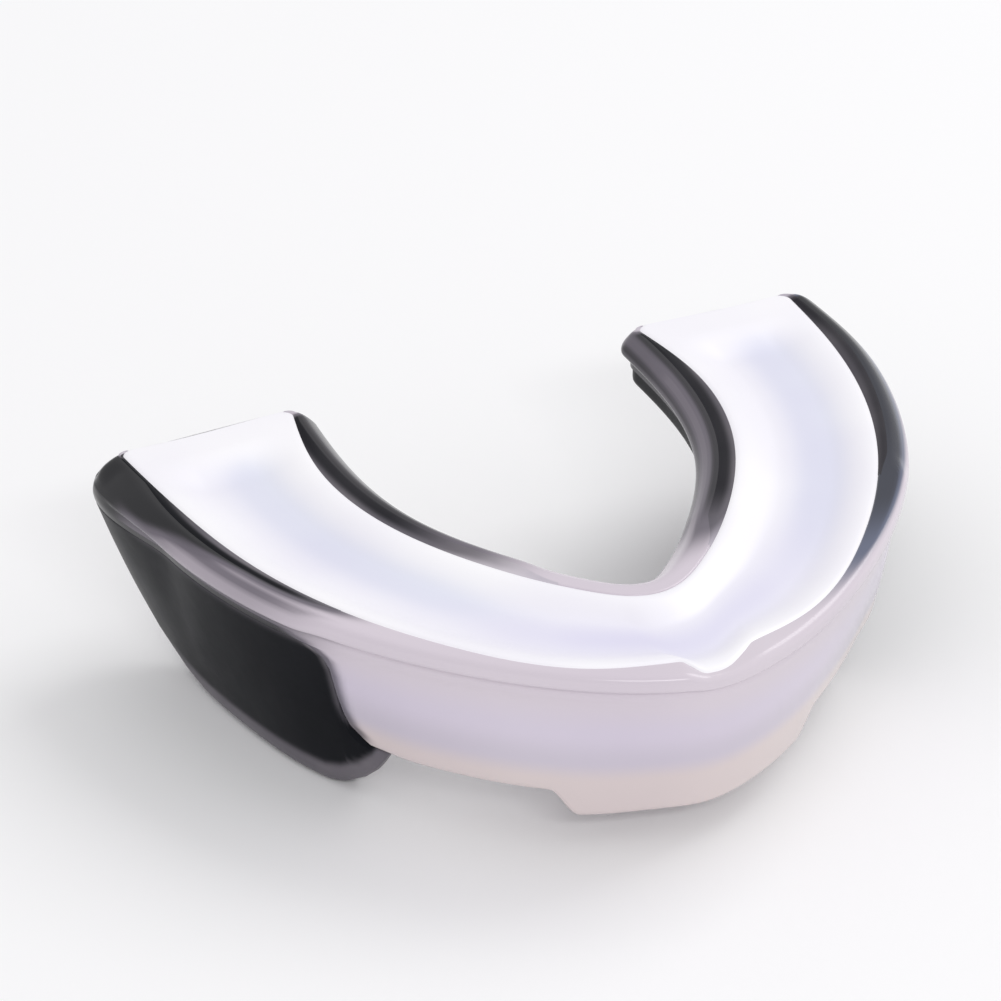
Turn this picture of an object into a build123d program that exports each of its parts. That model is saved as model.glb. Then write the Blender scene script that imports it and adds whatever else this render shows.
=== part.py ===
"""A two-tone mouthguard: an arch-shaped tray that rests with its bite side up.

Millimetres. X runs across the arch, Y from the lips (-) to the open rear ends (+), Z up.
The origin is the middle of the footprint, on the surface that the guard rests on.
"""

import os

from build123d import *

# Whole guard
LENGTH = 49.0
HEIGHT = 18.0
REAR = LENGTH / 2

# Half outlines of the rim in plan, from the rear end to the middle of the front
OUTER_HALF = [
    (31.8, REAR),
    (32.45, 15.4),
    (30.7, 5.4),
    (26.4, -4.4),
    (18.6, -14.1),
    (10.0, -20.9),
    (5.0, -23.4),
    (0, -REAR),
]
INNER_HALF = [(13.8, REAR), (14.0, 15.4), (12.0, 5.4), (7.6, -2.2), (3.3, -7.2), (0, -9.2)]

# Rim: a thin overhanging edge on a thicker collar
RIM_BOTTOM = HEIGHT - 1.6
RIM_ROUND = 0.8
RIM_UNDER_ROUND = 0.5
RIM_CORNER = 2.2
COLLAR_BOTTOM = HEIGHT - 3.2
COLLAR_INSET = 0.9
COLLAR_REAR = REAR - 0.7

# Bite pad, let into the top of the rim, narrower in the legs than at the front
PAD_OUTER_INSETS = (3.0, 3.0, 3.0, 2.6, 1.7, 1.3, 1.25, 1.2)
PAD_INNER_INSETS = (3.2, 3.2, 3.2, 3.2, 3.3, 3.3)
PAD_THICKNESS = 2.0
PAD_BOTTOM = HEIGHT - PAD_THICKNESS
PAD_REAR = REAR - 0.9
PAD_CORNER = 1.4
DISH_DEPTH = 0.9
DISH_TOP_MARGIN = 0.8
DISH_FLOOR_MARGIN = 3.2
DISH_REAR = REAR - 3.5
DISH_FLOOR_REAR = REAR - 6.5
TONGUE_WIDTH = 5.0
TONGUE_REACH = 3.0
TONGUE_DEPTH = 1.2

# Side shells: dark cradles that hold the pad along each leg, with a tall outer wall
BEAD_WIDTH = 2.0
SHELL_FRONT = -5.0
SHELL_FRONT_LOW = 9.3
SHELL_WALL = 3.0
SHELL_TOE = -7.6
SHELL_TOE_HEIGHT = 5.6
SHELL_TOE_ROUND = 1.4
SHELL_FOOT_FRONT = -3.6
SHELL_FOOT_REAR = 18.0
SHELL_FOOT_ROUND = 3.0
SHELL_HEEL = 23.0
SHELL_HEEL_HEIGHT = 7.5
SHELL_FOOT_BEVEL = 0.6
SHELL_FOOT_BEVEL_HEIGHT = 1.0

# Half outline of the shells' feet in plan
FOOT_HALF = [
    (28.2, REAR),
    (28.4, 15.4),
    (27.0, 6.6),
    (25.2, 0.5),
    (21.9, -5.4),
    (14.5, -13.5),
    (7.0, -18.0),
    (0, -19.5),
]

# Front wall, with a relieved lower edge and a central tab, both above the shells' feet
WALL = 2.8
WALL_FOOT_INSETS = (2.3, 2.3, 2.3, 2.2, 1.6, 1.8, 2.7, 3.0)
TAB_BOTTOM = 3.5
RELIEF = 2.4
TAB_HALF_WIDTH = 9.8
TAB_SLOPE = 1.8

# Short inner lip below the collar, along the tongue side
LIP_BOTTOM = HEIGHT - 4.6
LIP_INSET = 0.9
LIP = 2.0

# Soft liner over the floor of the tooth channel
LINER = 1.4
LINER_REAR_GAP = 1.2

FAR = 100.0


def moved(half, distances, outward=False):
    """The half outline's points, each moved square to the outline, towards the arch's inside.

    distances is one distance for all the points, or a distance for each. The inner outline moves
    outward, away from the middle of the guard, to go the same way into the material.
    """
    if not isinstance(distances, tuple):
        distances = (distances,) * len(half)
    side = -1 if outward else 1
    result = []
    for index, (x, y) in enumerate(half):
        before = half[max(index - 1, 0)]
        after = half[min(index + 1, len(half) - 1)]
        run = Vector(after[0] - before[0], after[1] - before[1]).normalized()
        if index == 0:
            run = Vector(0, -1)
        if index == len(half) - 1:
            run = Vector(-1, 0)
        distance = side * distances[index]
        result.append((x + run.Y * distance, y - run.X * distance))
    return result


def widened(insets, margin):
    """The same insets, each with the margin added."""
    return tuple(inset + margin for inset in insets)


def both_sides(half):
    """The whole outline: the half and its mirror image, with the middle point once."""
    return half + [(-x, y) for x, y in reversed(half[:-1])]


def arch(height, outer_insets, inner_insets, rear=REAR):
    """The arch in plan at a height, its two long edges moved in from the rim's, cut off at rear."""
    with BuildSketch(Plane.XY.offset(height)) as plan:
        with BuildLine():
            outer = Spline(*both_sides(moved(OUTER_HALF, outer_insets)))
            inner = Spline(*both_sides(moved(INNER_HALF, inner_insets, outward=True)))
            Line(outer @ 0, inner @ 0)
            Line(outer @ 1, inner @ 1)
        make_face()
        if rear < REAR:
            with Locations((0, rear)):
                Rectangle(FAR, FAR, align=(Align.CENTER, Align.MIN), mode=Mode.SUBTRACT)
    return plan.sketch


def band(half, height, insets, width, outward=False):
    """A band in plan along one edge of the arch, from its insets to its insets + width."""
    if not isinstance(insets, tuple):
        insets = (insets,) * len(half)
    with BuildSketch(Plane.XY.offset(height)) as plan:
        with BuildLine():
            outside = Spline(*both_sides(moved(half, insets, outward)))
            inside = Spline(*both_sides(moved(half, widened(insets, width), outward)))
            Line(outside @ 0, inside @ 0)
            Line(outside @ 1, inside @ 1)
        make_face()
    return plan.sketch


# The whole form of rim and collar, later shared out between the tray, the shells and the pad
with BuildPart() as rim_form:
    add(arch(RIM_BOTTOM, 0.0, 0.0))
    extrude(amount=HEIGHT - RIM_BOTTOM)
    rear_corners = rim_form.edges().filter_by(Axis.Z).group_by(Axis.Y)[-1]
    fillet(rear_corners, RIM_CORNER)
    fillet(rim_form.faces().sort_by(Axis.Z)[-1].edges(), RIM_ROUND)
    fillet(rim_form.faces().sort_by(Axis.Z)[0].edges(), RIM_UNDER_ROUND)
    add(arch(COLLAR_BOTTOM, COLLAR_INSET, COLLAR_INSET, COLLAR_REAR))
    extrude(amount=RIM_BOTTOM - COLLAR_BOTTOM)

# The pad's form before its dish: it fills the pocket in the rim and has a tongue at the front
with BuildPart() as pad_form:
    add(arch(PAD_BOTTOM, PAD_OUTER_INSETS, PAD_INNER_INSETS, PAD_REAR))
    extrude(amount=PAD_THICKNESS)
    pad_corners = pad_form.edges().filter_by(Axis.Z).group_by(Axis.Y)[-1]
    fillet(pad_corners, PAD_CORNER)
    with BuildSketch(Plane.XY.offset(HEIGHT - TONGUE_DEPTH)):
        with Locations((0, -REAR)):
            Rectangle(TONGUE_WIDTH, 2 * TONGUE_REACH)
    extrude(amount=TONGUE_DEPTH)

# The space in each leg that the dark shells take up, inside the clear bead
with BuildPart() as shell_room:
    add(arch(COLLAR_BOTTOM, BEAD_WIDTH, BEAD_WIDTH, PAD_REAR))
    extrude(amount=HEIGHT - COLLAR_BOTTOM)
    split(bisect_by=Plane.XZ.offset(-SHELL_FRONT), keep=Keep.BOTTOM)
    add(rim_form.part, mode=Mode.INTERSECT)
    add(pad_form.part, mode=Mode.SUBTRACT)

# The side view of the shells' outer walls: a raised heel, a flat foot and a toe that juts forward
with BuildPart() as shell_side:
    with BuildSketch(Plane.YZ) as side_view:
        with BuildLine():
            Polyline(
                (REAR, COLLAR_BOTTOM),
                (SHELL_HEEL, SHELL_HEEL_HEIGHT),
                (SHELL_FOOT_REAR, 0),
                (SHELL_FOOT_FRONT, 0),
                (SHELL_TOE, SHELL_TOE_HEIGHT),
                (SHELL_FRONT, SHELL_FRONT_LOW),
                (SHELL_FRONT, COLLAR_BOTTOM),
                close=True,
            )
        make_face()
        fillet(side_view.vertices().group_by(Axis.Y)[0], SHELL_FOOT_ROUND)
        fillet(side_view.vertices().group_by(Axis.X)[0], SHELL_TOE_ROUND)
    extrude(amount=FAR, both=True)

# What is taken off the front wall's lower edge, on both sides of the tab
with BuildPart() as relief_form:
    with BuildSketch(Plane.XZ) as front_view:
        with Locations((0, TAB_BOTTOM)):
            Rectangle(FAR, 2 * RELIEF)
        with BuildLine():
            Polyline(
                (-TAB_HALF_WIDTH, TAB_BOTTOM),
                (-TAB_HALF_WIDTH - TAB_SLOPE, TAB_BOTTOM + RELIEF),
                (TAB_HALF_WIDTH + TAB_SLOPE, TAB_BOTTOM + RELIEF),
                (TAB_HALF_WIDTH, TAB_BOTTOM),
                close=True,
            )
        make_face(mode=Mode.SUBTRACT)
    extrude(amount=FAR, both=True)

# White pad: it fills the pocket in the rim, and its top is a shallow dish
with BuildPart() as bite_pad:
    add(pad_form.part)
    add(rim_form.part, mode=Mode.INTERSECT)
    loft(
        [
            arch(
                HEIGHT,
                widened(PAD_OUTER_INSETS, DISH_TOP_MARGIN),
                widened(PAD_INNER_INSETS, DISH_TOP_MARGIN),
                DISH_REAR,
            ),
            arch(
                HEIGHT - DISH_DEPTH,
                widened(PAD_OUTER_INSETS, DISH_FLOOR_MARGIN),
                widened(PAD_INNER_INSETS, DISH_FLOOR_MARGIN),
                DISH_FLOOR_REAR,
            ),
        ],
        mode=Mode.SUBTRACT,
    )

# Milky tray: the front of the rim, the clear beads along both legs, the front wall and its tab
with BuildPart() as outer_tray:
    loft(
        [
            band(OUTER_HALF, TAB_BOTTOM, WALL_FOOT_INSETS, WALL),
            band(OUTER_HALF, COLLAR_BOTTOM, COLLAR_INSET, WALL),
        ]
    )
    add(relief_form.part, mode=Mode.SUBTRACT)
    add(band(INNER_HALF, LIP_BOTTOM, LIP_INSET, LIP, outward=True))
    extrude(amount=COLLAR_BOTTOM - LIP_BOTTOM)
    split(bisect_by=Plane.XZ.offset(-SHELL_FRONT), keep=Keep.TOP)
    add(shell_side.part, mode=Mode.SUBTRACT)
    add(rim_form.part)
    add(shell_room.part, mode=Mode.SUBTRACT)
    add(pad_form.part, mode=Mode.SUBTRACT)

# Dark side shells: the cradle under the pad, the outer wall with its foot, and the inner lip
shells = {}
for name, side in (("left_flank", Keep.BOTTOM), ("right_flank", Keep.TOP)):
    with BuildPart() as shell:
        loft(
            [
                band(FOOT_HALF, 0, SHELL_FOOT_BEVEL, SHELL_WALL - 2 * SHELL_FOOT_BEVEL),
                band(FOOT_HALF, SHELL_FOOT_BEVEL_HEIGHT, 0.0, SHELL_WALL),
                band(OUTER_HALF, COLLAR_BOTTOM, COLLAR_INSET, SHELL_WALL),
            ],
            ruled=True,
        )
        add(band(INNER_HALF, LIP_BOTTOM, LIP_INSET, LIP, outward=True))
        extrude(amount=COLLAR_BOTTOM - LIP_BOTTOM)
        add(shell_side.part, mode=Mode.INTERSECT)
        add(shell_room.part)
        split(bisect_by=Plane.YZ, keep=side)
    shells[name] = shell

# Soft liner over the floor of the tooth channel, between the walls and the inner lip
with BuildPart() as fit_liner:
    add(
        arch(
            COLLAR_BOTTOM - LINER,
            COLLAR_INSET + WALL / 2,
            LIP_INSET + LIP / 2,
            REAR - LINER_REAR_GAP,
        )
    )
    extrude(amount=LINER)
    add(outer_tray.part, mode=Mode.SUBTRACT)
    for shell in shells.values():
        add(shell.part, mode=Mode.SUBTRACT)

pieces = {
    "outer_tray": outer_tray,
    "bite_pad": bite_pad,
    "left_flank": shells["left_flank"],
    "right_flank": shells["right_flank"],
    "fit_liner": fit_liner,
}
os.makedirs("parts", exist_ok=True)
for name, piece in pieces.items():
    piece.part.label = name
    export_step(piece.part, f"parts/{name}.step")
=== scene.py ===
"""The looks of a two-tone mouthguard that rests with its bite side up.

Lengths are millimetres until a mesh is made, and the meshes are in metres, in the CAD frame.
X runs across the arch, Y from the lips (-) to the open rear ends (+), Z up.
A station is one cut across the arch. In a cut, the first coordinate is the distance from the
arch's outer edge towards its inner edge, and the second is the height.
"""

import math

import bpy
import numpy as np
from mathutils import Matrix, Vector


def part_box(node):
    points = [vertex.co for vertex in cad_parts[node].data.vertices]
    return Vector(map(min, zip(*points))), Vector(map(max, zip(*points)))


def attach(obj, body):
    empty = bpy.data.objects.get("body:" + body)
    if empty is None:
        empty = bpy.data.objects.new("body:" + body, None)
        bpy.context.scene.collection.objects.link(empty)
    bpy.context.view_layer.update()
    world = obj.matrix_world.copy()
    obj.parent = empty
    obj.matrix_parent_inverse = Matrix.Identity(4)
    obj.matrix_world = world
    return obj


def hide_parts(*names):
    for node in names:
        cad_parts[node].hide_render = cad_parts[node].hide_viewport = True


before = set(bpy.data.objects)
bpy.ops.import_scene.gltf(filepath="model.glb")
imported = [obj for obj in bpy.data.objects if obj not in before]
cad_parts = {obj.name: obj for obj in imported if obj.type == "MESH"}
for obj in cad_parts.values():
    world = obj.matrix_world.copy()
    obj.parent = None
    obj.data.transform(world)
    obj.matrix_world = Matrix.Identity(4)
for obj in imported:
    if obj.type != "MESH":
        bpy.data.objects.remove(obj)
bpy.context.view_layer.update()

MM = 0.001
tray_low, tray_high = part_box("outer_tray")
HEIGHT = tray_high.z / MM
REAR = tray_high.y / MM

# Half outlines of the rim in plan, from the rear end to the middle of the front
OUTER_HALF = [
    (31.8, REAR),
    (32.45, 15.4),
    (30.7, 5.4),
    (26.4, -4.4),
    (18.6, -14.1),
    (10.0, -20.9),
    (5.0, -23.4),
    (0, -REAR),
]
INNER_HALF = [(13.8, REAR), (14.0, 15.4), (12.0, 5.4), (7.6, -2.2), (3.3, -7.2), (0, -9.2)]

# Half outline of the shells' feet in plan
FOOT_HALF = [
    (28.2, REAR),
    (28.4, 15.4),
    (27.0, 6.6),
    (25.2, 0.5),
    (21.9, -5.4),
    (14.5, -13.5),
    (7.0, -18.0),
    (0, -19.5),
]

# Rim bead, the crease under it, and the collar below; the bead is rounder along the legs
FRONT_BEVEL = 0.4
LEG_BEVEL = 1.15
INNER_FRONT_BEVEL = 1.5
FRONT_BEAD_LOW = HEIGHT - 1.45
LEG_BEAD_LOW = HEIGHT - 1.75
CREASE_DROP = 0.2
COLLAR = HEIGHT - 3.2
EDGE_IN = 0.9

# Rear ends: the sides swell out there, and the corners are rounded in plan and from above
REAR_SWELL_LEFT = 2.4
REAR_SWELL_RIGHT = 0.8
SWELL_START = 12.0
SWELL_FULL = 22.5
CORNER = 1.7
TOP_ROUND = 1.1
RIM_MIDDLE = HEIGHT - 0.8
RIM_HALF_HEIGHT = 1.5

# Pocket for the pad with the pad's insets from the rim's edges, from rear to front, and the pad's dish
PAD_OUTER_RIGHT = (2.2, 2.95, 2.85, 2.45, 1.6, 1.3, 2.05, 2.4)
PAD_OUTER_LEFT = (0.9, 2.65, 2.85, 2.45, 1.6, 1.3, 2.05, 2.4)
PAD_INNER = (1.7, 3.1, 3.2, 3.2, 3.3, 3.3)
PAD_FLOOR = HEIGHT - 2.0
PAD_REAR = REAR - 0.35
PAD_CORNER = 0.9
PAD_EDGE_DROP = 0.10
PAD_CROWN = 0.12
PAD_CROWN_WIDTH = 0.35
BEAD_WIDTH = 2.0
DISH_DEPTH = 1.0
DISH_SLOPE = 0.30
DISH_END = REAR - 3.0
DISH_RUN = 5.0

# Front wall with its foot's inset from the rim's edge, from rear to front, its tab, and the inner lip
WALL = 2.8
WALL_FOOT_LEFT = (2.3, 2.3, 2.3, 2.2, 1.6, 1.8, 2.7, 3.0)
WALL_FOOT_RIGHT = (2.3, 2.3, 2.3, 2.9, 3.2, 3.1, 3.0, 3.0)
TAB_BOTTOM = tray_low.z / MM
RELIEF = 2.4
TAB_HALF_WIDTH = 9.8
TAB_SLOPE = 1.8
WALL_BELLY = 0.25
WALL_END = 1.0
LAP = 0.5
LIP_BOTTOM = HEIGHT - 4.6
LIP = 2.0

# Dark side shells: side views of their upper edge and of their heel, foot and toe, as (y, z)
SHELL_WALL = 3.0
REAR_GAP = 0.7
TOE_ROUND = 1.4
FOOT_ROUND = 1.4
HEEL_ROUND = 1.5
LIP_ROUND = 1.6
RIGHT_TOE_TUCK = 2.0
SHELL_FRONT = -5.0
SHELL_TOE = -7.7
SHELL_TOE_TOP = HEIGHT - 12.3
TOP_EDGE = [
    (SHELL_TOE, SHELL_TOE_TOP),
    (-7.3, HEIGHT - 12.0),
    (-6.5, HEIGHT - 11.4),
    (-5.4, HEIGHT - 10.2),
    (-5.0, HEIGHT - 8.6),
    (-4.9, HEIGHT - 5.4),
    (-4.5, HEIGHT - 4.0),
    (-3.4, HEIGHT - 3.3),
    (-1.0, COLLAR),
]
LOW_EDGE = [
    (SHELL_TOE, SHELL_TOE_TOP - 0.7),
    (-7.3, 4.3),
    (-6.5, 3.0),
    (-5.2, 1.6),
    (-3.6, 0.5),
    (-2.2, 0.0),
    (13.0, 0.0),
    (16.0, 0.6),
    (19.3, 2.2),
    (21.8, 5.6),
    (23.1, 8.2),
    (24.0, 11.0),
]

# Soft liner over the floor of the tooth channel
LINER = 1.4
LINER_REAR_GAP = 1.4
LINER_CORNER = 1.5

# Notch in the middle of the front rim: where its two sides start and end, across the guard
NOTCH_LEFT = (-3.1, -1.1)
NOTCH_RIGHT = (-0.3, 5.0)
NOTCH_DEPTH = 0.5
NOTCH_SPILL = 1.55

# Where dark gel shows through the milky gel: ranges along Y, and a distance from the rim's edge
TIP = (REAR - 9.0, REAR - 4.0)
PAD_REAR_TURN = (PAD_REAR - 1.3, PAD_REAR - 0.4)
STRIP_EDGE = 2.1

# How finely the meshes are cut
ROUND_STEPS = 5
END_STEPS = 12
DENSE = 4000
SEARCH_STEPS = 3000
HALVINGS = 24
PAD_POINTS = 49
STRIP_POINTS = 9
END_RUN = 12.0
FRONT_RUN = 6.0
FRONT_GAP = 0.2
FAR_SIDE = 6.0
POCKET_CUTS = (-0.04, 0.02, 0.06, 0.15, 0.3, 0.5, 0.8)
SHARP_ANGLE = math.radians(50)


def spline(points, count):
    """Points evenly spread along the natural cubic spline through the given points."""
    points = np.asarray(points, float)
    step = np.linalg.norm(np.diff(points[:, :2], axis=0), axis=1)
    knots = np.concatenate([[0.0], np.cumsum(step)])
    size = len(points)
    system = np.zeros((size, size))
    right = np.zeros(points.shape)
    system[0, 0] = 1
    system[-1, -1] = 1
    for i in range(1, size - 1):
        system[i, i - 1 : i + 2] = (step[i - 1], 2 * (step[i - 1] + step[i]), step[i])
        right[i] = 6 * (
            (points[i + 1] - points[i]) / step[i] - (points[i] - points[i - 1]) / step[i - 1]
        )
    bend = np.linalg.solve(system, right)
    along = np.linspace(0, knots[-1], count)
    k = np.clip(np.searchsorted(knots, along, "right") - 1, 0, size - 2)
    h = step[k][:, None]
    after = (along - knots[k])[:, None] / h
    before = 1 - after
    straight = before * points[k] + after * points[k + 1]
    return straight + ((before**3 - before) * bend[k] + (after**3 - after) * bend[k + 1]) * h**2 / 6


def whole(half, right=None, left=None):
    """The half outline and its mirror image, each point with its side's value if there is one."""
    if right is None:
        return list(half) + [(-x, y) for x, y in reversed(half[:-1])]
    left = right if left is None else left
    rows = [(x, y, right[i]) for i, (x, y) in enumerate(half)]
    return rows + [(-x, y, left[i]) for i, (x, y) in reversed(list(enumerate(half[:-1])))]


class Edge:
    """One long edge of the arch in plan, with a value such as the pad's inset along it."""

    def __init__(self, half, inward, right, left=None):
        dense = spline(whole(half, right, left), DENSE)
        self.points = dense[:, :2]
        self.values = dense[:, 2]
        step = np.linalg.norm(np.diff(self.points, axis=0), axis=1)
        self.length = step.sum()
        self.along = np.concatenate([[0.0], np.cumsum(step)]) / self.length
        run = np.gradient(self.points, axis=0)
        run /= np.linalg.norm(run, axis=1)[:, None]
        self.normals = inward * np.column_stack([run[:, 1], -run[:, 0]])

    def at(self, t, what):
        table = getattr(self, what)
        if table.ndim == 1:
            return np.interp(t, self.along, table)
        return np.column_stack([np.interp(t, self.along, table[:, i]) for i in range(2)])


outer_edge = Edge(OUTER_HALF, 1, PAD_OUTER_RIGHT, PAD_OUTER_LEFT)
inner_edge = Edge(INNER_HALF, -1, PAD_INNER)
foot_edge = Edge(OUTER_HALF, 1, WALL_FOOT_RIGHT, WALL_FOOT_LEFT)
foot_line = spline(whole(FOOT_HALF), DENSE)


def smooth(low, high, x):
    """0 below low, 1 above high, and a smooth step between."""
    s = np.clip((np.asarray(x, float) - low) / (high - low), 0, 1)
    return s * s * (3 - 2 * s)


def corner_cut(radius, distance):
    """How far a corner of that radius has pulled in at a distance from the end it rounds."""
    left = np.clip(radius - distance, 0, radius)
    return radius - np.sqrt(radius**2 - left**2)


class Cuts:
    """Stations across the arch: t is the share of the outer edge's length, from the right rear end."""

    def __init__(self, t):
        self.t = np.asarray(t, float)
        half = np.minimum(self.t, 1 - self.t) * 2
        stretch = outer_edge.length / inner_edge.length - 1
        inner_half = half + stretch * half * (1 - half) ** 2
        inner_t = np.where(self.t < 0.5, inner_half / 2, 1 - inner_half / 2)
        self.outer = outer_edge.at(self.t, "points")
        self.outer_normal = outer_edge.at(self.t, "normals")
        self.inner = inner_edge.at(inner_t, "points")
        self.inner_normal = inner_edge.at(inner_t, "normals")
        self.width = np.linalg.norm(self.inner - self.outer, axis=1)
        self.pad_outer = outer_edge.at(self.t, "values")
        self.pad_inner = inner_edge.at(inner_t, "values")
        self.wall_foot = foot_edge.at(self.t, "values")
        self.count = len(self.t)

    def place(self, across, height):
        """3-D points of the cuts' points."""
        width = self.width[:, None]
        share = np.clip(across / width, 0, 1)
        share = share * share * (3 - 2 * share)
        near = self.outer[:, None] + self.outer_normal[:, None] * across[..., None]
        far = self.inner[:, None] + self.inner_normal[:, None] * (width - across)[..., None]
        plan = near * (1 - share[..., None]) + far * share[..., None]
        return np.concatenate([plan, height[..., None]], axis=2)


def shell_foot(cuts):
    """Distance of the shells' foot line from the outer edge, square to that edge, at each cut."""
    offset = foot_line[None] - cuts.outer[:, None]
    normal = cuts.outer_normal[:, None]
    sideways = np.abs(offset[..., 0] * normal[..., 1] - offset[..., 1] * normal[..., 0])
    inset = (offset * normal).sum(axis=2)
    sideways[np.abs(inset) > FAR_SIDE] = np.inf
    nearest = sideways.argmin(axis=1)
    return inset[np.arange(cuts.count), nearest]


def ring(cuts, corners):
    """Closed rings of points, one per cut, from corners (across, height, radius, points after it)."""
    size = cuts.count
    across = np.array([np.broadcast_to(c[0], size) for c in corners], float).T
    height = np.array([np.broadcast_to(c[1], size) for c in corners], float).T
    radius = np.array([np.broadcast_to(c[2], size) for c in corners], float).T
    points = np.stack([across, height], axis=2)
    after = np.roll(points, -1, axis=1) - points
    before = np.roll(points, 1, axis=1) - points
    after_length = np.maximum(np.linalg.norm(after, axis=2), 1e-9)
    before_length = np.maximum(np.linalg.norm(before, axis=2), 1e-9)
    start = points + before * np.minimum(radius / before_length, 0.46)[..., None]
    end = points + after * np.minimum(radius / after_length, 0.46)[..., None]
    rows = []
    for k, corner in enumerate(corners):
        if np.max(corner[2]) > 0:
            for s in np.linspace(0, 1, ROUND_STEPS):
                a = start[:, k] * (1 - s) ** 2
                b = points[:, k] * 2 * s * (1 - s)
                rows.append(a + b + end[:, k] * s**2)
        else:
            rows.append(points[:, k])
        following = start[:, (k + 1) % len(corners)]
        for s in np.linspace(0, 1, corner[3] + 2)[1:-1]:
            rows.append(end[:, k] * (1 - s) + following * s)
    made = np.stack(rows, axis=1)
    return made[..., 0], made[..., 1]


def skin_mesh(name, parts, attributes):
    """One object from swept rings: parts is a list of (points, values), values by attribute."""
    coordinates = []
    faces = []
    values = {key: [] for key in attributes}
    base = 0
    for points, part_values in parts:
        stations, around = points.shape[:2]
        index = base + np.arange(stations * around).reshape(stations, around)
        following = np.roll(index, -1, axis=1)
        quads = np.stack([index[:-1], following[:-1], following[1:], index[1:]], axis=-1)
        faces += quads.reshape(-1, 4).tolist()
        faces.append(index[0, ::-1].tolist())
        faces.append(index[-1].tolist())
        coordinates.append(points.reshape(-1, 3))
        for key in attributes:
            values[key].append(np.broadcast_to(part_values.get(key, 0.0), (stations, around)).ravel())
        base += stations * around
    mesh = bpy.data.meshes.new(name)
    mesh.from_pydata((np.concatenate(coordinates) * MM).tolist(), [], faces)
    mesh.update()
    for key in attributes:
        layer = mesh.attributes.new(key, "FLOAT", "POINT")
        layer.data.foreach_set("value", np.concatenate(values[key]).astype(np.float32))
    mesh.shade_smooth()
    mesh.set_sharp_from_angle(angle=SHARP_ANGLE)
    piece = bpy.data.objects.new(name, mesh)
    bpy.context.scene.collection.objects.link(piece)
    return piece


def outward(piece):
    """Turns the faces of a closed piece outward."""
    bpy.context.view_layer.objects.active = piece
    piece.select_set(True)
    bpy.ops.object.mode_set(mode="EDIT")
    bpy.ops.mesh.select_all(action="SELECT")
    bpy.ops.mesh.normals_make_consistent(inside=False)
    bpy.ops.object.mode_set(mode="OBJECT")
    piece.select_set(False)
    return piece


def mirrored(points):
    """The same rings on the other side of the guard."""
    return points * np.array([-1, 1, 1])


def spaced(start, end, gap):
    """Values from start to end, at most gap apart."""
    return np.linspace(start, end, max(2, int(math.ceil(abs(end - start) / gap)) + 1))


def rear_steps(radius, first=0.0):
    """Distances from a rounded end, closer together at the end itself."""
    turn = np.linspace(0, math.pi / 2, END_STEPS)
    return first + radius * (1 - np.cos(turn))


def arch_cuts(first, corner, end_gap, leg_gap, extra=()):
    """Cuts of a piece that runs the whole arch, close together at its ends and at the notch."""
    length = outer_edge.length
    middle = length / 2
    end = np.concatenate([rear_steps(corner, first), spaced(first + corner, END_RUN, end_gap)[1:], extra])
    leg = spaced(END_RUN, middle - FRONT_RUN, leg_gap)[1:]
    front = spaced(middle - FRONT_RUN, middle, FRONT_GAP)[1:]
    half = np.concatenate([np.sort(end), leg, front]) / length
    return Cuts(np.concatenate([half, 1 - half[-2::-1]]))


def leg_share(y):
    """How much a place along Y belongs to a leg (1) rather than to the front (0)."""
    return smooth(SHELL_FRONT - 1.0, SHELL_FRONT + 2.5, y)


def rounded_rear(cuts, across, height):
    """The tray's rings, pulled in near the rear ends in plan and in height."""
    outer_cut = corner_cut(CORNER, REAR - cuts.outer[:, 1])[:, None]
    inner_cut = corner_cut(CORNER, REAR - cuts.inner[:, 1])[:, None]
    width = cuts.width[:, None]
    share = np.clip(across / width, 0, 1)
    across = across + outer_cut * (1 - share) - inner_cut * share
    flat = corner_cut(TOP_ROUND, REAR - cuts.outer[:, 1])[:, None]
    height = RIM_MIDDLE + (height - RIM_MIDDLE) * (1 - flat / RIM_HALF_HEIGHT)
    return across, height


def edge_line(cuts, edge, foot):
    """Height of a side view's edge at each cut, for a wall that leans in towards its foot."""
    line = np.array(edge)
    low = np.zeros(cuts.count)
    high = np.full(cuts.count, float(COLLAR))
    for _ in range(HALVINGS):
        height = (low + high) / 2
        inset = EDGE_IN + (foot - EDGE_IN) * (1 - height / COLLAR)
        y = cuts.outer[:, 1] + cuts.outer_normal[:, 1] * inset
        above = height > np.interp(y, line[:, 0], line[:, 1])
        high = np.where(above, height, high)
        low = np.where(above, low, height)
    return (low + high) / 2


def bead_width(pad_inset, leg):
    """Width of the milky bead: up to the pad at the front, narrower along the legs."""
    return pad_inset + (np.minimum(BEAD_WIDTH, pad_inset - 0.1) - pad_inset) * leg


def rear_swell(cuts, amount):
    """How far the sides swell out near the rear ends, beyond their usual inset."""
    return amount * smooth(SWELL_START, SWELL_FULL, cuts.outer[:, 1])


def wall_lean(cuts, foot):
    """How far the front wall leans in for each millimetre of its drop; it lies just over the shells."""
    own = (cuts.wall_foot - EDGE_IN) / (COLLAR - TAB_BOTTOM)
    shell = (foot - EDGE_IN) / COLLAR - 0.006
    beside = smooth(SHELL_TOE - 4.0, SHELL_TOE + 0.5, cuts.outer[:, 1])
    return own + (shell - own) * beside


def wall_bottom(cuts, foot):
    """Height of the front wall's lower edge: the tab, the relief beside it, and the shells' edge."""
    foot_x = np.abs(cuts.outer[:, 0] + cuts.outer_normal[:, 0] * cuts.wall_foot)
    beside_tab = smooth(TAB_HALF_WIDTH - 0.2, TAB_HALF_WIDTH + TAB_SLOPE + 0.2, foot_x)
    raised = TAB_BOTTOM + RELIEF * beside_tab
    over_shell = edge_line(cuts, TOP_EDGE, foot) - LAP
    return np.maximum(raised, over_shell * (cuts.outer[:, 1] > SHELL_TOE - 2.5))


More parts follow.
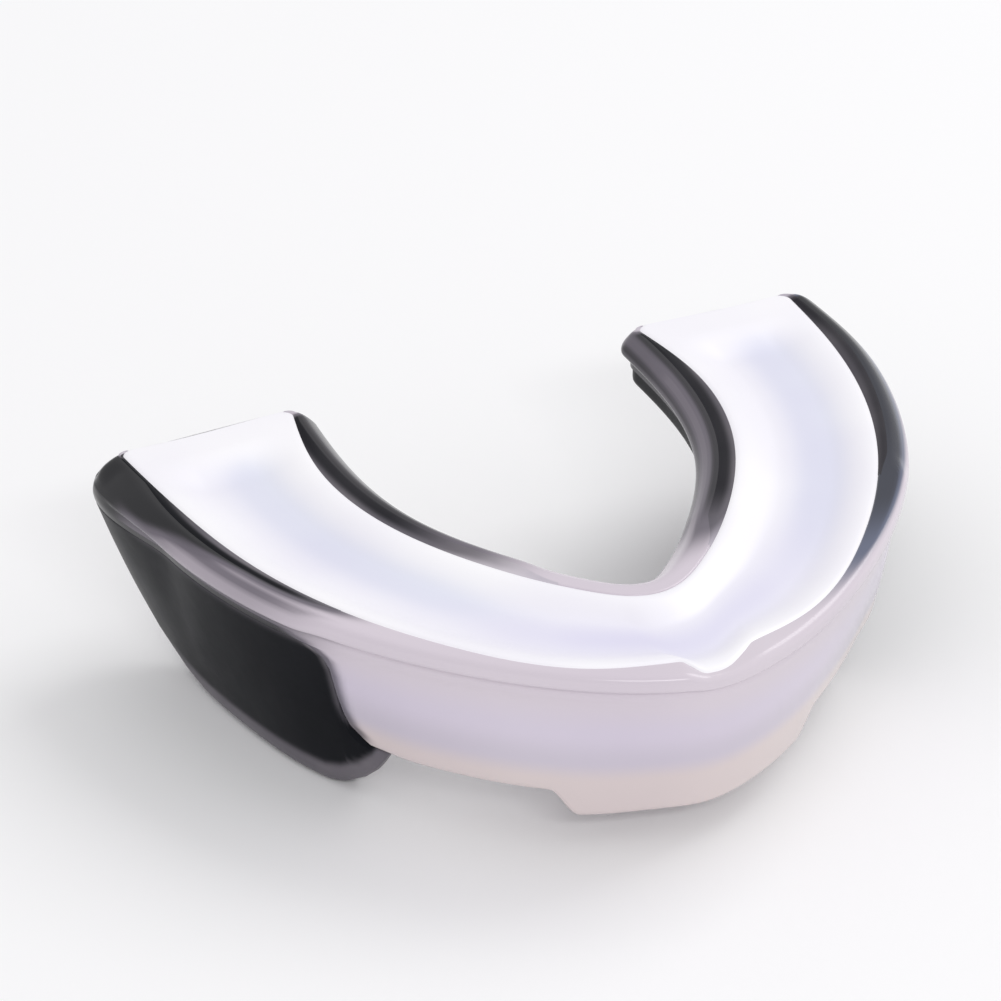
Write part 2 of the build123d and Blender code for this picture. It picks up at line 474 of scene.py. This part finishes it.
def notch_share(cuts):
    """1 inside the front notch, 0 outside it; its left side is the steeper one."""
    x = cuts.outer[:, 0]
    return smooth(*NOTCH_LEFT, x) * (1 - smooth(*NOTCH_RIGHT, x))


def build_tray():
    """The milky moulding: rim, collar, front wall with its tab, and the short inner lip."""
    pocket_end = REAR - PAD_REAR
    cuts = arch_cuts(0.0, CORNER, 0.35, 0.45, pocket_end + np.array(POCKET_CUTS))
    outer_leg = leg_share(cuts.outer[:, 1])
    inner_leg = leg_share(cuts.inner[:, 1])
    width = cuts.width
    foot = shell_foot(cuts)
    beyond_pad = cuts.outer[:, 1] - PAD_REAR
    pocket_open = 1 - smooth(-0.03, 0.0, beyond_pad)
    pocket_corner = corner_cut(PAD_CORNER, np.maximum(-beyond_pad, 0))
    outer_pocket = bead_width(cuts.pad_outer, outer_leg) + pocket_corner
    inner_pocket = bead_width(cuts.pad_inner, inner_leg) + pocket_corner
    floor = HEIGHT + (PAD_FLOOR - HEIGHT) * pocket_open
    tuck = 0.3 * (1 - pocket_open)
    notch = notch_share(cuts) * NOTCH_DEPTH
    bead_top = HEIGHT - notch
    outer_bevel = FRONT_BEVEL + (LEG_BEVEL - FRONT_BEVEL) * outer_leg
    inner_bevel = INNER_FRONT_BEVEL + (LEG_BEVEL - INNER_FRONT_BEVEL) * inner_leg
    outer_bevel = np.minimum(outer_bevel, outer_pocket - 0.3)
    inner_bevel = np.minimum(inner_bevel, inner_pocket - 0.3)
    outer_low = FRONT_BEAD_LOW + (LEG_BEAD_LOW - FRONT_BEAD_LOW) * outer_leg
    inner_low = LEG_BEAD_LOW
    outer_crease = outer_low - CREASE_DROP
    inner_crease = inner_low - CREASE_DROP
    swell = np.where(cuts.outer[:, 0] < 0, REAR_SWELL_LEFT, REAR_SWELL_RIGHT)
    edge_in = EDGE_IN - rear_swell(cuts, swell)
    out = rear_swell(cuts, np.maximum(swell - EDGE_IN, 0))
    rise = smooth(0.0, 0.8, REAR - cuts.outer[:, 1] - 0.3)
    collar = outer_crease - 0.05 + (COLLAR - outer_crease + 0.05) * rise
    lean = wall_lean(cuts, foot)
    bottom = wall_bottom(cuts, foot)
    full = 1 - smooth(WALL_END - 2.5, WALL_END, cuts.outer[:, 1])
    bottom = COLLAR + (bottom - COLLAR) * full
    foot_here = EDGE_IN + lean * (COLLAR - bottom)
    lip_full = 1 - smooth(SHELL_FRONT - 0.5, SHELL_FRONT + 0.4, cuts.inner[:, 1])
    lip_z = collar + (LIP_BOTTOM - COLLAR) * lip_full
    belly = WALL_BELLY * full * smooth(1.0, 6.0, COLLAR - bottom)

    def wall(leg_across, front_across, front_height):
        """A corner of the front wall, which shrinks into the collar's underside along the legs."""
        across = leg_across + (front_across - leg_across) * full
        height = collar + (front_height - COLLAR) * full
        return across, height

    belly_height = COLLAR + (bottom - COLLAR) * 0.45
    belly_across = EDGE_IN + (foot_here - EDGE_IN) * 0.45 - belly
    # From the pocket's outer side over the bead, down the wall, and by the lip back to the pocket
    corners = [
        (outer_pocket + tuck, floor, 0.2, 1),
        (outer_pocket, bead_top, 0.2, 4),
        (outer_bevel - 0.3 * out, bead_top, 0.9 * outer_bevel, 4),
        (-0.55 * out, bead_top - outer_bevel, 0.9 * outer_bevel, 2),
        (-0.9 * out, outer_low - notch * 0.3, 0.35, 1),
        (edge_in, outer_crease, 0.12, 3),
        (edge_in - 0.12, (outer_crease + collar) / 2, 0.5, 3),
        (edge_in, collar, 0.0, 6),
        (*wall(1.5, belly_across, belly_height), 2.0, 12),
        (*wall(2.1, foot_here, bottom), 0.6, 2),
        (*wall(2.9, foot_here + WALL, bottom), 0.6, 5),
        (EDGE_IN + WALL, collar, 0.5, 6),
        (width - EDGE_IN - LIP - 0.6, collar, 0.0, 0),
        (width - EDGE_IN - LIP + 0.1 * lip_full, lip_z, 0.3, 1),
        (width - EDGE_IN - 0.6 + 0.6 * lip_full, lip_z, 0.5, 2),
        (width - EDGE_IN, collar, 0.0, 3),
        (width - EDGE_IN, inner_crease, 0.12, 1),
        (width, inner_low, 0.35, 2),
        (width, HEIGHT - inner_bevel, 0.9 * inner_bevel, 4),
        (width - inner_bevel, HEIGHT, 0.9 * inner_bevel, 4),
        (width - inner_pocket, HEIGHT, 0.2, 1),
        (width - inner_pocket - tuck, floor, 0.2, 10),
    ]
    across, height = ring(cuts, corners)
    across, height = rounded_rear(cuts, across, height)
    points = cuts.place(across, height)
    dark = tray_darkness(cuts, across, points)
    slate = smooth(0.0, 6.0, points[..., 0]) * (1 - smooth(0.45, 0.55, across / width[:, None]))
    return skin_mesh("milky_tray", [(points, {"dark": dark, "slate": slate})], ["dark", "slate"])


def edge_distance(y, z):
    """Distance along Y from the shells' front edge at a height: positive on the shells' side."""
    line = np.array(TOP_EDGE)
    return y - np.interp(z, line[:, 1], line[:, 0])


def outer_top_darkness(depth, x, y):
    """Dark edge on top of a leg's outer side: on the right it reaches further out and forward."""
    left_edge = 1.55 - 0.7 * smooth(3.0, 12.0, y) - 1.4 * smooth(10.0, 18.0, y)
    right_edge = 0.45 - 0.9 * smooth(14.0, 21.0, y)
    edge = np.where(x < 0, left_edge, right_edge)
    blur = np.where(x < 0, 0.55, 0.4)
    towards_bead = smooth(edge - blur, edge + blur, depth)
    greyer = np.where(x < 0, 0.55 - 0.35 * smooth(6.0, 16.0, y), 0.12)
    towards_pad = 1 - greyer * smooth(STRIP_EDGE, 2.75, depth)
    fade = np.where(x < 0, smooth(-9.0, 1.0, y), 0.84 * smooth(-23.0, -7.0, y))
    return towards_bead * towards_pad * fade


def inner_top_darkness(depth, x, y):
    """Dark edge on top of a leg's inner side, with a painted reflection: a lighter band on the right
    one's bead.
    """
    # Painted reflection of a bright light on the bead: a lighter band, faint on the left leg
    painted_reflection_band = smooth(0.15, 0.5, depth) * (1 - smooth(0.9, 1.5, depth))
    towards_bead = 0.9 - np.where(x < 0, 0.12, 0.48) * painted_reflection_band
    towards_pad = 1 - 0.35 * smooth(2.45, 3.3, depth)
    fade = np.where(x < 0, smooth(-9.5, 7.0, y), smooth(-11.5, -0.5, y))
    return towards_bead * towards_pad * fade


def rear_tip(points, outer_side):
    """How dark the rear end of a leg is all over: fully only at the left one's outer corner."""
    strength = np.where(outer_side & (points[..., 0] < 0), 1.0, 0.3)
    return strength * smooth(*TIP, points[..., 1])


def tray_darkness(cuts, across, points):
    """How much of the dark shells shows through the milky tray, with painted shade in the crease under
    the bead.
    """
    y = points[..., 1]
    z = points[..., 2]
    width = cuts.width[:, None]
    outer_side = across < width / 2
    depth = np.where(outer_side, across, width - across)
    on_top = smooth(HEIGHT - 1.7, HEIGHT - 0.9, z)
    behind_pad = smooth(PAD_REAR - 0.4, PAD_REAR, y) * smooth(0.4, 1.1, depth)
    around_corner = smooth(*PAD_REAR_TURN, y) * smooth(1.0, 1.6, depth)
    rear_line = np.maximum(behind_pad, around_corner) * smooth(HEIGHT - 2.0, HEIGHT - 1.0, z)
    outer_top = outer_top_darkness(depth, points[..., 0], y) * on_top
    inner_top = inner_top_darkness(depth, points[..., 0], y) * on_top
    inner_side = 0.75 * (1 - on_top) * smooth(-9.0, 3.0, y)
    low = 0.85 * (1 - smooth(COLLAR - 0.1, COLLAR + 0.6, z)) * smooth(-4.5, -1.0, y)
    streak = 0.22 * np.exp(-(((depth - 0.75) / 0.25) ** 2)) * smooth(-8.0, 0.0, y)
    left_veil = 0.24 * smooth(-9.0, 2.0, y) + 0.25 * smooth(8.0, 18.0, y) + streak
    right_veil = 0.2 * smooth(-6.0, 3.0, y) + 0.35 * smooth(8.0, 18.0, y)
    veil = np.where(points[..., 0] < 0, left_veil, right_veil)
    # Painted shade: a thin dark line in the crease under the bead
    crease_line_mask = np.exp(-(((z - LEG_BEAD_LOW + CREASE_DROP) / 0.16) ** 2)) * (depth < 1.2)
    painted_crease_shade = 0.3 * crease_line_mask * smooth(-9.0, -1.0, y)
    beside = 0.7 * smooth(-1.5, 0.5, edge_distance(y, z)) * (z < COLLAR + 0.5) * smooth(5.9, 7.4, z)
    outer_dark = 1 - (1 - outer_top) * (1 - low) * (1 - veil) * (1 - beside) * (1 - painted_crease_shade)
    inner_dark = 1 - (1 - inner_top) * (1 - inner_side)
    dark = np.where(outer_side, outer_dark, inner_dark)
    dark = 1 - (1 - dark) * (1 - rear_tip(points, outer_side))
    return dark * (1 - 0.85 * rear_line)


def build_pad():
    """The white pad in the rim's pocket, with its dish and the tongue that spills into the notch."""
    cuts = arch_cuts(REAR - PAD_REAR, PAD_CORNER, 0.4, 0.5)
    width = cuts.width
    cut = corner_cut(PAD_CORNER, PAD_REAR - cuts.outer[:, 1])
    notch = notch_share(cuts)
    left = cuts.pad_outer + cut - NOTCH_SPILL * notch
    right = width - cuts.pad_inner - cut
    share = np.linspace(0, 1, PAD_POINTS)
    across = left[:, None] + (right - left)[:, None] * share
    dish = smooth(0.0, 1.0, (share - 0.03) / DISH_SLOPE) * smooth(0.0, 1.0, (0.97 - share) / DISH_SLOPE)
    open_end = smooth(0.0, 1.0, (DISH_END - cuts.outer[:, 1]) / DISH_RUN)
    depth = DISH_DEPTH * dish[None] * open_end[:, None]
    edge = np.minimum(across - left[:, None], right[:, None] - across)
    rise = np.clip(edge / PAD_CROWN_WIDTH, 0, 1)
    crown = PAD_CROWN * np.sqrt(np.clip(1 - (1 - rise) ** 2, 0, 1))
    spill = notch[:, None] * NOTCH_DEPTH * (1 - smooth(0.3, 3.4, across)) ** 1.5
    height = HEIGHT - PAD_EDGE_DROP + crown - depth - spill
    floor = np.full(cuts.count, PAD_FLOOR)
    back = share[::6][::-1]
    across_low = left[:, None] + (right - left)[:, None] * back
    height_low = np.broadcast_to(floor[:, None], across_low.shape)
    all_across = np.concatenate([across, across_low], axis=1)
    all_height = np.concatenate([height, height_low], axis=1)
    points = cuts.place(all_across, all_height)
    towards_x = np.where(cuts.outer[:, :1] > 0, 1 - share, share)
    leg = smooth(6.0, 24.0, np.abs(cuts.outer[:, :1]))
    # Painted shade: a faint cool shade on the dish slope of each leg that faces away from the key light
    painted_dish_shade = leg * np.exp(-(((towards_x - 0.60) / 0.20) ** 2)) * open_end[:, None]
    # Painted shade: a lavender band along the middle of the front dish
    front = (1 - 0.6 * leg) * np.exp(-(((share - 0.45) / 0.26) ** 2)) * open_end[:, None]
    unseen = np.zeros(across_low.shape)
    values = {
        "painted_dish_shade": np.concatenate([painted_dish_shade, unseen], axis=1),
        "front": np.concatenate([front, unseen], axis=1),
    }
    return skin_mesh("white_bite_pad", [(points, values)], ["painted_dish_shade", "front"])


def strip_part(cuts, from_outer):
    """The dark edge that shows on top between the pad and the bead, along one side of a leg."""
    if from_outer:
        y = cuts.outer[:, 1]
        pad = cuts.pad_outer
    else:
        y = cuts.inner[:, 1]
        pad = cuts.pad_inner
    corner = corner_cut(PAD_CORNER, np.maximum(PAD_REAR - y, 0))
    low = bead_width(pad, leg_share(y)) + corner - 0.28
    high = np.maximum(pad + corner + 0.02, low + 0.04)
    share = np.linspace(0, 1, STRIP_POINTS)
    depth = low[:, None] + (high - low)[:, None] * share
    lift = 0.012 - 0.03 * (1 - smooth(0.0, 0.2, share)) - 0.09 * smooth(0.3, 1.0, share)
    top = HEIGHT + lift[None] + np.zeros((cuts.count, 1))
    bottom = np.full((cuts.count, 3), PAD_FLOOR)
    depth_low = low[:, None] + (high - low)[:, None] * np.array([1.0, 0.5, 0.0])
    depth = np.concatenate([depth, depth_low], axis=1)
    height = np.concatenate([top, bottom], axis=1)
    across = depth if from_outer else cuts.width[:, None] - depth
    points = cuts.place(across, height)
    shade = outer_top_darkness if from_outer else inner_top_darkness
    dark = shade(depth - corner[:, None], points[..., 0], points[..., 1])
    dark = 1 - (1 - dark) * (1 - rear_tip(points, from_outer))
    return points, {"dark": dark * (1 - 0.9 * smooth(*PAD_REAR_TURN, points[..., 1]))}


def shell_stations(last_y, inner=False, inset=0.0):
    """Share of the outer edge's length from the right rear end to where a side reaches last_y."""
    t = np.linspace(0, 0.5, SEARCH_STEPS)
    cuts = Cuts(t)
    y = cuts.inner[:, 1] if inner else cuts.outer[:, 1] + cuts.outer_normal[:, 1] * inset
    return np.interp(-last_y, -y, t)


def shell_wall(toe_tuck, swell):
    """The wall of a side shell, made on the right: how far its toe is tucked in and its rear swells."""
    length = outer_edge.length
    toe_lean = EDGE_IN + 0.2 * (COLLAR - SHELL_TOE_TOP)
    ahead = shell_stations(SHELL_TOE, inset=toe_lean) * length
    rear_end = 8.0
    front_start = ahead - 7.0
    rear = np.concatenate([rear_steps(CORNER, REAR_GAP), spaced(REAR_GAP + CORNER, rear_end, 0.3)[1:]])
    body = spaced(rear_end, front_start, 0.45)[1:]
    front = spaced(front_start, ahead - TOE_ROUND, 0.1)[1:]
    nose = ahead - rear_steps(TOE_ROUND)[::-1]
    distances = np.concatenate([rear, body, front, nose[1:]])
    cuts = Cuts(distances / length)
    foot = shell_foot(cuts)
    foot = foot + toe_tuck * (1 - smooth(-7.0, 5.0, cuts.outer[:, 1]))
    top = edge_line(cuts, TOP_EDGE, foot)
    bottom = edge_line(cuts, LOW_EDGE, foot)
    bottom = np.minimum(bottom, top - 0.4)
    skin_top = EDGE_IN - 0.03 - rear_swell(cuts, swell)

    def skin(height):
        return skin_top + (foot - skin_top) * (1 - height / COLLAR)

    tall = top - bottom
    shoulder = 0.1 + 1.2 * smooth(0.0, 3.0, COLLAR - top)
    belly_z = bottom + tall * 0.5
    corners = [
        (skin(top), top, shoulder, 12),
        (skin(belly_z) - 0.1, belly_z, 2.5, 12),
        (skin(bottom), bottom, FOOT_ROUND, 3),
        (skin(bottom) + SHELL_WALL, bottom, 1.1, 8),
        (skin(top) + SHELL_WALL, top, 0.5, 3),
    ]
    across, height = ring(cuts, corners)
    centre = 0.5 * (across.max(axis=1, keepdims=True) + across.min(axis=1, keepdims=True))
    middle = 0.5 * (height.max(axis=1, keepdims=True) + height.min(axis=1, keepdims=True))
    nose_left = np.clip(TOE_ROUND - (ahead - distances), 0, TOE_ROUND) / TOE_ROUND
    shrink = np.sqrt(np.maximum(1 - nose_left**2, 0.01))[:, None]
    across = centre + (across - centre) * shrink
    height = middle + (height - middle) * (0.5 + 0.5 * shrink)
    from_rear = np.maximum(distances - REAR_GAP, 0)
    rear_cut = corner_cut(CORNER, from_rear)[:, None]
    share = np.clip((across - across.min(axis=1, keepdims=True)) / (SHELL_WALL + 1), 0, 1)
    across = across + rear_cut * (1 - share) * 0.9
    heel_cut = corner_cut(HEEL_ROUND, from_rear)[:, None]
    height = np.maximum(height, height.min(axis=1, keepdims=True) + heel_cut * 0.5)
    wall_points = cuts.place(across, height)
    y = wall_points[..., 1]
    z = wall_points[..., 2]
    soft_top = 0.2 * smooth(COLLAR - 0.8, COLLAR, z) * (1 - smooth(*TIP, y))
    soft_front = 0.35 * (1 - smooth(-0.2, 0.9, edge_distance(y, z))) * smooth(6.4, 7.6, z)
    # Painted reflection of the pale floor: lighter grey along the shell's lower edge
    painted_floor_reflection = 0.5 * (1 - smooth(1.5, 3.0, z - bottom[:, None])) * (1 - smooth(12.0, 21.0, y))
    return wall_points, {"dark": np.clip(1 - soft_top - soft_front - painted_floor_reflection, 0, 1)}


def shell_lip():
    """The short inner lip of a side shell, made on the right."""
    length = outer_edge.length
    last = shell_stations(SHELL_FRONT, inner=True) * length
    body = spaced(REAR_GAP + LIP_ROUND, last, 0.4)[1:]
    distances = np.concatenate([rear_steps(LIP_ROUND, REAR_GAP), body])
    cuts = Cuts(distances / length)
    cut = corner_cut(LIP_ROUND, np.maximum(distances - REAR_GAP, 0))
    inside = cuts.width - EDGE_IN - LIP + cut * 0.4
    outside = cuts.width - EDGE_IN - cut * 0.6
    corners = [
        (inside, COLLAR, 0.0, 2),
        (inside, LIP_BOTTOM, 0.3, 2),
        (outside, LIP_BOTTOM, 0.5, 2),
        (outside, COLLAR, 0.0, 3),
    ]
    across, height = ring(cuts, corners)
    return cuts.place(across, height), {"dark": 1.0}


def build_shells():
    """The two dark side shells, each with its wall, its inner lip and two strips beside the pad."""
    length = outer_edge.length
    lip_part = shell_lip()
    first = REAR - PAD_REAR
    strips = []
    for from_outer in (True, False):
        last = shell_stations(SHELL_FRONT - 0.8, inner=not from_outer) * length
        steps = np.concatenate([rear_steps(PAD_CORNER, first), spaced(first + PAD_CORNER, last, 0.4)[1:]])
        strips.append((steps / length, from_outer))
    right_strips = [strip_part(Cuts(share), from_outer) for share, from_outer in strips]
    left_strips = [strip_part(Cuts(1 - share), from_outer) for share, from_outer in strips]
    right_wall = [shell_wall(RIGHT_TOE_TUCK, REAR_SWELL_RIGHT), lip_part]
    wall_to_mirror = [shell_wall(0.0, REAR_SWELL_LEFT), lip_part]
    left_wall = [(mirrored(points), values) for points, values in wall_to_mirror]
    right = skin_mesh("right_side_shell", right_wall + right_strips, ["dark"])
    left = skin_mesh("left_side_shell", left_wall + left_strips, ["dark"])
    return left, right


def build_liner():
    """The soft liner on the floor of the tooth channel."""
    length = outer_edge.length
    start = LINER_REAR_GAP + LINER_CORNER
    steps = np.concatenate([rear_steps(LINER_CORNER, LINER_REAR_GAP), spaced(start, length / 2, 0.5)[1:]])
    half = steps / length
    cuts = Cuts(np.concatenate([half, 1 - half[-2::-1]]))
    cut = corner_cut(LINER_CORNER, np.maximum(REAR - LINER_REAR_GAP - cuts.outer[:, 1], 0))
    low = EDGE_IN + SHELL_WALL - 0.3 + cut
    high = cuts.width - EDGE_IN - LIP + 0.2 - cut
    corners = [
        (low, COLLAR - 0.01, 0.0, 5),
        (low, COLLAR - LINER, 0.5, 12),
        (high, COLLAR - LINER, 0.4, 5),
        (high, COLLAR - 0.01, 0.0, 10),
    ]
    across, height = ring(cuts, corners)
    return skin_mesh("channel_liner", [(cuts.place(across, height), {"dark": 0.0})], ["dark"])


def new_material(name):
    """A material with its node tree and its shader."""
    material = bpy.data.materials.new(name)
    material.use_nodes = True
    tree = material.node_tree
    tree.nodes.clear()
    output = tree.nodes.new("ShaderNodeOutputMaterial")
    shader = tree.nodes.new("ShaderNodeBsdfPrincipled")
    tree.links.new(shader.outputs["BSDF"], output.inputs["Surface"])
    return material, tree, shader


def node(tree, kind, settings=None, **inputs):
    """A node with its settings, and its inputs given as values or as other nodes' outputs.

    An input is named, or given by its place: i3 is the input with index 3.
    """
    made = tree.nodes.new("ShaderNode" + kind)
    for key, value in (settings or {}).items():
        setattr(made, key, value)
    for key, value in inputs.items():
        socket = made.inputs[int(key[1:])] if key[0] == "i" and key[1:].isdigit() else made.inputs[key]
        if isinstance(value, bpy.types.NodeSocket):
            tree.links.new(value, socket)
        else:
            socket.default_value = value
    return made


def mix(tree, factor, first, second, blend="MIX"):
    """A colour mixed from two, each a colour or a node's output."""
    made = tree.nodes.new("ShaderNodeMix")
    made.data_type = "RGBA"
    made.blend_type = blend
    for socket, value in ((made.inputs[0], factor), (made.inputs[6], first), (made.inputs[7], second)):
        if isinstance(value, bpy.types.NodeSocket):
            tree.links.new(value, socket)
        else:
            socket.default_value = value
    return made.outputs[2]


def noise(tree, scale, detail=3.0):
    """A value of smooth noise in the object's own space, about scale cells a metre."""
    place = node(tree, "TexCoord")
    made = node(tree, "TexNoise", Vector=place.outputs["Object"], Scale=scale, Detail=detail)
    return made.outputs["Fac"]


def ramp(tree, value, stops):
    """A colour ramp of (position, colour) stops."""
    made = node(tree, "ValToRGB", Fac=value)
    made.color_ramp.interpolation = "EASE"
    elements = made.color_ramp.elements
    while len(elements) < len(stops):
        elements.new(0.5)
    for element, (position, colour) in zip(elements, stops):
        element.position = position
        element.color = colour
    return made.outputs["Color"]


def height_share(tree):
    """0 at the resting surface and 1 at the top of the guard."""
    place = node(tree, "TexCoord")
    split = node(tree, "SeparateXYZ", Vector=place.outputs["Object"])
    share = node(tree, "Math", {"operation": "MULTIPLY"}, i0=split.outputs["Z"], i1=1 / (HEIGHT * MM))
    return share.outputs[0]


def srgb(red, green, blue):
    """A linear colour from 8-bit display values."""
    return tuple((((c / 255) + 0.055) / 1.055) ** 2.4 for c in (red, green, blue)) + (1.0,)


def attribute(tree, name):
    """A value kept with the mesh's vertices."""
    return node(tree, "Attribute", {"attribute_name": name}).outputs["Fac"]


def fine_bump(tree, shader, scale, strength, distance):
    """A slight unevenness of a moulded surface."""
    bump = node(tree, "Bump", Height=noise(tree, scale), Strength=strength, Distance=distance)
    tree.links.new(bump.outputs["Normal"], shader.inputs["Normal"])


WHITE = srgb(255, 255, 255)
COAL = srgb(13, 15, 21)
SMOKE = srgb(118, 114, 119)
NEUTRAL_GREY = srgb(128, 127, 133)
BLUISH_GREY = srgb(116, 129, 148)


def gel_material(name, low, shade, middle, high):
    """Milky moulded gel that darkens where a dark shell lies under it, with colour bands by height that
    hold painted light and shade.
    """
    material, tree, shader = new_material(name)
    # Bands by height, partly painted light: a warm tone low down, a painted shade line, a lighter painted
    # band where the wall bulges, then the top tone
    stops = [(0.22, low), (0.39, low), (0.51, shade), (0.66, middle), (0.84, high), (0.96, high)]
    tone_and_shade_by_height = ramp(tree, height_share(tree), stops)
    cloud = ramp(tree, noise(tree, 45, 1.0), [(0.3, srgb(244, 242, 246)), (0.75, WHITE)])
    milk = mix(tree, 0.6, tone_and_shade_by_height, cloud, "MULTIPLY")
    dark = attribute(tree, "dark")
    neutral = ramp(tree, dark, [(0.0, WHITE), (0.5, NEUTRAL_GREY), (1.0, COAL)])
    bluish = ramp(tree, dark, [(0.0, WHITE), (0.5, BLUISH_GREY), (1.0, COAL)])
    through = mix(tree, attribute(tree, "slate"), neutral, bluish)
    tree.links.new(mix(tree, 1.0, milk, through, "MULTIPLY"), shader.inputs["Base Color"])
    rough = node(tree, "MapRange", Value=noise(tree, 300), i3=0.17, i4=0.23)
    tree.links.new(rough.outputs[0], shader.inputs["Roughness"])
    shader.inputs["Specular IOR Level"].default_value = 0.5
    fine_bump(tree, shader, 140, 0.02, 0.0003)
    return material


def shell_material(name):
    """Dark moulded gel, greyer where the milky gel laps over its edges and along its foot, where a floor
    reflection is painted.
    """
    material, tree, shader = new_material(name)
    tone = ramp(tree, attribute(tree, "dark"), [(0.0, srgb(216, 209, 216)), (0.5, SMOKE), (1.0, COAL)])
    mottle = ramp(tree, noise(tree, 160), [(0.3, srgb(215, 215, 222)), (0.75, WHITE)])
    tree.links.new(mix(tree, 0.8, tone, mottle, "MULTIPLY"), shader.inputs["Base Color"])
    rough = node(tree, "MapRange", Value=noise(tree, 400), i3=0.30, i4=0.42)
    tree.links.new(rough.outputs[0], shader.inputs["Roughness"])
    shader.inputs["Specular IOR Level"].default_value = 0.08
    fine_bump(tree, shader, 320, 0.08, 0.0003)
    return material


def pad_material(name):
    """White pad with painted shade: a faint cool shade in its dish and a lavender shade along the front.
    """
    material, tree, shader = new_material(name)
    # Painted shade: cool colour in the legs' dishes and lavender along the middle of the front dish
    painted_dish_shade = ramp(tree, attribute(tree, "painted_dish_shade"), [(0.0, srgb(253, 252, 254)), (1.0, srgb(226, 229, 241))])
    painted_shade_colour = mix(tree, attribute(tree, "front"), painted_dish_shade, srgb(229, 227, 244))
    cloud = ramp(tree, noise(tree, 70, 2.0), [(0.3, srgb(248, 247, 251)), (0.7, WHITE)])
    tree.links.new(mix(tree, 0.8, painted_shade_colour, cloud, "MULTIPLY"), shader.inputs["Base Color"])
    rough = node(tree, "MapRange", Value=noise(tree, 120), i3=0.36, i4=0.46)
    tree.links.new(rough.outputs[0], shader.inputs["Roughness"])
    shader.inputs["Coat Weight"].default_value = 0.15
    shader.inputs["Coat Roughness"].default_value = 0.2
    fine_bump(tree, shader, 240, 0.06, 0.0003)
    return material


tray = outward(build_tray())
pad = outward(build_pad())
left_shell, right_shell = (outward(piece) for piece in build_shells())
liner = outward(build_liner())

# Colours from low to high: warm tone, painted shade line, lighter painted band on the wall's bulge, top
# tone
milky = gel_material(
    "milky_gel", srgb(222, 210, 208), srgb(208, 201, 213), srgb(216, 208, 222), srgb(218, 209, 217)
)
soft = gel_material(
    "soft_liner", srgb(216, 208, 208), srgb(216, 210, 213), srgb(218, 212, 216), srgb(222, 218, 220)
)
dark_gel = shell_material("dark_shell")
white = pad_material("white_pad")

for piece, material, node_name, slot_name in (
    (tray, milky, "outer_tray", "milky_gel"),
    (pad, white, "bite_pad", "white_pad"),
    (left_shell, dark_gel, "left_flank", "dark_shell"),
    (right_shell, dark_gel, "right_flank", "dark_shell"),
    (liner, soft, "fit_liner", "soft_liner"),
):
    piece.data.materials.append(material)
    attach(piece, "root")
    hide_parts(node_name)


def build_floor():
    """A plain pale floor."""
    size = 3.0
    mesh = bpy.data.meshes.new("floor")
    corners = [(-size, -size, 0), (size, -size, 0), (size, size, 0), (-size, size, 0)]
    mesh.from_pydata(corners, [], [(0, 1, 2, 3)])
    floor = bpy.data.objects.new("floor", mesh)
    bpy.context.scene.collection.objects.link(floor)
    material, _, shader = new_material("floor_paint")
    shader.inputs["Base Color"].default_value = (0.96, 0.96, 0.96, 1)
    shader.inputs["Roughness"].default_value = 0.9
    shader.inputs["Specular IOR Level"].default_value = 0.0
    floor.data.materials.append(material)


def aimed(thing, target):
    """Turns a light or a camera towards a point."""
    direction = Vector(target) - thing.location
    thing.rotation_euler = direction.to_track_quat("-Z", "Y").to_euler()


def add_light(name, place, width, height, energy):
    """A softbox that faces the guard."""
    data = bpy.data.lights.new(name, "AREA")
    data.shape = "RECTANGLE"
    data.size = width
    data.size_y = height
    data.energy = energy
    light = bpy.data.objects.new(name, data)
    light.location = place
    aimed(light, (0, 0, 0.007))
    bpy.context.scene.collection.objects.link(light)


def build_lights():
    """An even pale surround, a soft key light and a low wide gleam on the front of the rim."""
    world = bpy.data.worlds.new("studio")
    world.use_nodes = True
    background = world.node_tree.nodes["Background"]
    background.inputs["Color"].default_value = (0.985, 0.98, 1.0, 1)
    background.inputs["Strength"].default_value = 0.72
    bpy.context.scene.world = world
    add_light("key", (0.50, 0.15, 0.60), 0.45, 0.45, 1.7)
    add_light("front_gleam", (-0.14, -0.60, 0.52), 0.40, 0.07, 1.15)


def build_camera():
    """The viewing angle: from the left front, a third of the way up."""
    azimuth = math.radians(-24.58)
    elevation = math.radians(32.90)
    distance = 0.4802
    target = Vector((-0.005745, 0.004594, HEIGHT * MM))
    back = Vector(
        (
            math.sin(azimuth) * math.cos(elevation),
            -math.cos(azimuth) * math.cos(elevation),
            math.sin(elevation),
        )
    )
    data = bpy.data.cameras.new("camera")
    data.lens = 215.8
    data.sensor_width = 36
    data.clip_start = 0.01
    data.clip_end = 20
    camera = bpy.data.objects.new("camera", data)
    camera.location = target + back * distance
    aimed(camera, target)
    bpy.context.scene.collection.objects.link(camera)
    bpy.context.scene.camera = camera


build_floor()
build_lights()
build_camera()
bpy.context.scene.view_settings.view_transform = "Standard"
